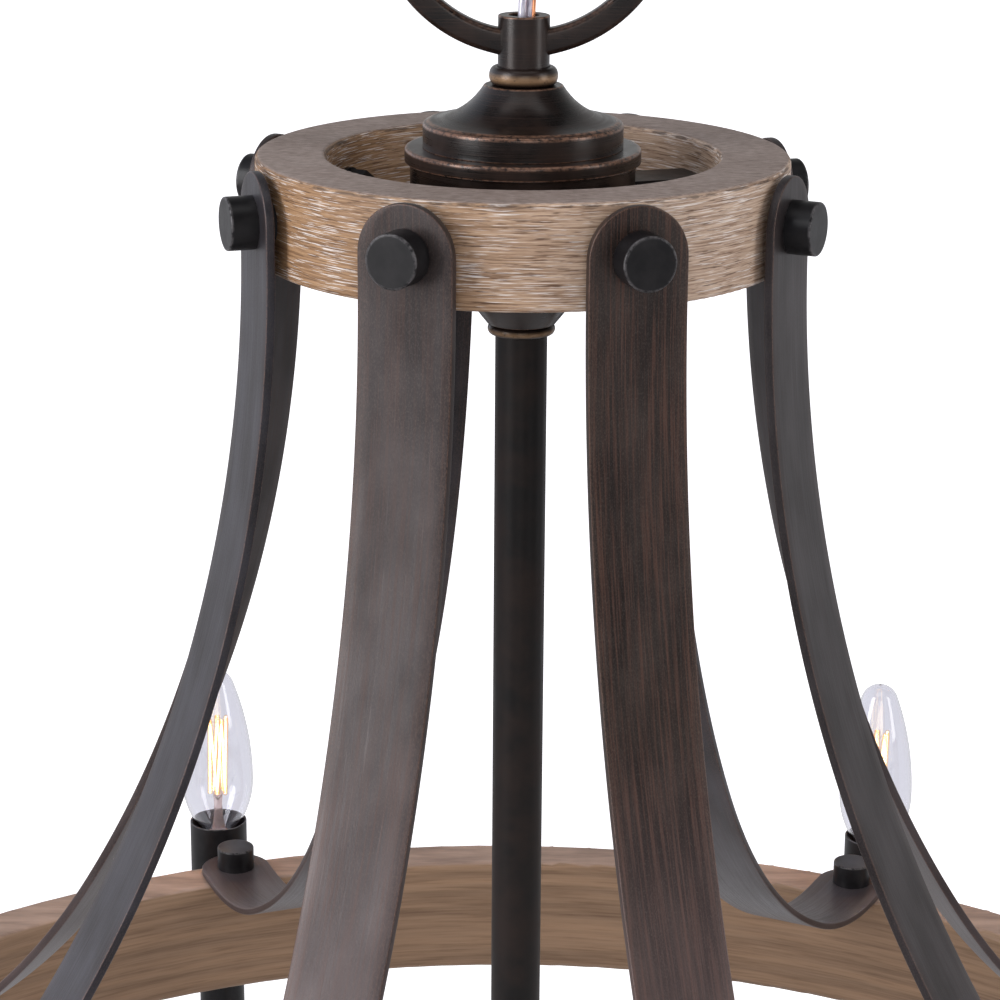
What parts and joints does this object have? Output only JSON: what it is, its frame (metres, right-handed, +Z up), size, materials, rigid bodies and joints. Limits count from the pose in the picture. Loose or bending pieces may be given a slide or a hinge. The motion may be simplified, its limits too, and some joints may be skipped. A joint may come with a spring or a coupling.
{
  "type": "wagon wheel chandelier",
  "caption": "Chandelier with a small wooden ring, bell-curved flat metal straps down to a large wooden wheel, candle lamps round its rim, and a turned hub hung on a ring",
  "frame": {"origin": "middle of the canopy's rim in the ceiling plane, at the centre of the ceiling bracket's slots", "axes": "+Z up out of the ceiling, +X to the viewer's right and along the bracket, +Y away from the viewer"},
  "size_m": [0.8634, 0.8614, 0.8863],
  "materials": {
    "limed_oak": "open-grained oak with white lime in the pores, tan side and grey-brown top",
    "brown_oak": "smooth mid-brown stained wood, satin",
    "strap_bronze": "dark bronze over steel, brushed, copper worn through at the edges",
    "black_steel": "satin black enamel with thin bright worn rims",
    "hub_bronze": "oil-rubbed bronze, glossy, copper on the edges",
    "stem_bronze": "glossy dark brown-black tube",
    "zinc_steel": "plain zinc-plated steel",
    "clear_cord": "two clear leads over tinned wire with a bare copper earth wire",
    "amber_insulator": "amber-brown insulator",
    "clear_glass": "clear thin bulb glass, brass screw base"
  },
  "bodies": {
    "ceiling_mount": {"ceiling_bracket": "zinc_steel", "bracket_locknut": "zinc_steel", "canopy_nipple": "zinc_steel", "canopy": "hub_bronze", "canopy_collar": "hub_bronze", "canopy_loop": "hub_bronze"},
    "chain_link_body": {"chain_link": "hub_bronze"},
    "wheel_frame": {"supply_cord": "clear_cord", "hanging_ring": "hub_bronze", "hub_tube": "hub_bronze", "bead_collars": "hub_bronze", "hub_bell": "hub_bronze", "flange_plate": "hub_bronze", "hub_drum": "hub_bronze", "cross_bar": "black_steel", "under_bowl": "hub_bronze", "joint_nipple": "zinc_steel", "stem": "stem_bronze", "bottom_hub": "hub_bronze", "bottom_cap": "hub_bronze", "finial": "hub_bronze", "top_wood_ring": "limed_oak", "wheel_wood_ring": "brown_oak", "strap_spacers": "black_steel", "top_strap_bolts": "black_steel", "wheel_strap_bolts": "black_steel", "flange_nuts": "black_steel", "candle_tubes": "black_steel", "lamp_sockets": "amber_insulator", "strap_1": "strap_bronze", "strap_2": "strap_bronze", "strap_3": "strap_bronze", "strap_4": "strap_bronze", "strap_5": "strap_bronze", "strap_6": "strap_bronze", "strap_7": "strap_bronze", "strap_8": "strap_bronze", "arm_1": "hub_bronze", "arm_2": "hub_bronze", "arm_3": "hub_bronze", "arm_4": "hub_bronze", "arm_5": "hub_bronze", "arm_6": "hub_bronze", "arm_7": "hub_bronze", "arm_8": "hub_bronze", "lamp_cup_1": "black_steel", "lamp_cup_2": "black_steel", "lamp_cup_3": "black_steel", "lamp_cup_4": "black_steel", "lamp_cup_5": "black_steel", "lamp_cup_6": "black_steel", "lamp_cup_7": "black_steel", "lamp_cup_8": "black_steel"},
    "lamp_bulb_1": {"bulb_1": "clear_glass"},
    "lamp_bulb_2": {"bulb_2": "clear_glass"},
    "lamp_bulb_3": {"bulb_3": "clear_glass"},
    "lamp_bulb_4": {"bulb_4": "clear_glass"},
    "lamp_bulb_5": {"bulb_5": "clear_glass"},
    "lamp_bulb_6": {"bulb_6": "clear_glass"},
    "lamp_bulb_7": {"bulb_7": "clear_glass"},
    "lamp_bulb_8": {"bulb_8": "clear_glass"}
  },
  "joints": [
    {"name": "link_swing", "type": "hinge", "parent": "ceiling_mount", "child": "chain_link_body", "pos_m": [0, 0, -0.074], "axis": [1, 0, 0], "range_deg": [-10, 10], "deforming": ["supply_cord"]},
    {"name": "wheel_swing", "type": "hinge", "parent": "chain_link_body", "child": "wheel_frame", "pos_m": [0, 0, -0.12345], "axis": [0, 1, 0], "range_deg": [-10, 10], "deforming": ["supply_cord"]},
    {"name": "bulb_1_out", "type": "slide", "parent": "wheel_frame", "child": "lamp_bulb_1", "axis": [0, 0, 1], "range_m": [0, 0.024]},
    {"name": "bulb_2_out", "type": "slide", "parent": "wheel_frame", "child": "lamp_bulb_2", "axis": [0, 0, 1], "range_m": [0, 0.024]},
    {"name": "bulb_3_out", "type": "slide", "parent": "wheel_frame", "child": "lamp_bulb_3", "axis": [0, 0, 1], "range_m": [0, 0.024]},
    {"name": "bulb_4_out", "type": "slide", "parent": "wheel_frame", "child": "lamp_bulb_4", "axis": [0, 0, 1], "range_m": [0, 0.024]},
    {"name": "bulb_5_out", "type": "slide", "parent": "wheel_frame", "child": "lamp_bulb_5", "axis": [0, 0, 1], "range_m": [0, 0.024]},
    {"name": "bulb_6_out", "type": "slide", "parent": "wheel_frame", "child": "lamp_bulb_6", "axis": [0, 0, 1], "range_m": [0, 0.024]},
    {"name": "bulb_7_out", "type": "slide", "parent": "wheel_frame", "child": "lamp_bulb_7", "axis": [0, 0, 1], "range_m": [0, 0.024]},
    {"name": "bulb_8_out", "type": "slide", "parent": "wheel_frame", "child": "lamp_bulb_8", "axis": [0, 0, 1], "range_m": [0, 0.024]}
  ]
}
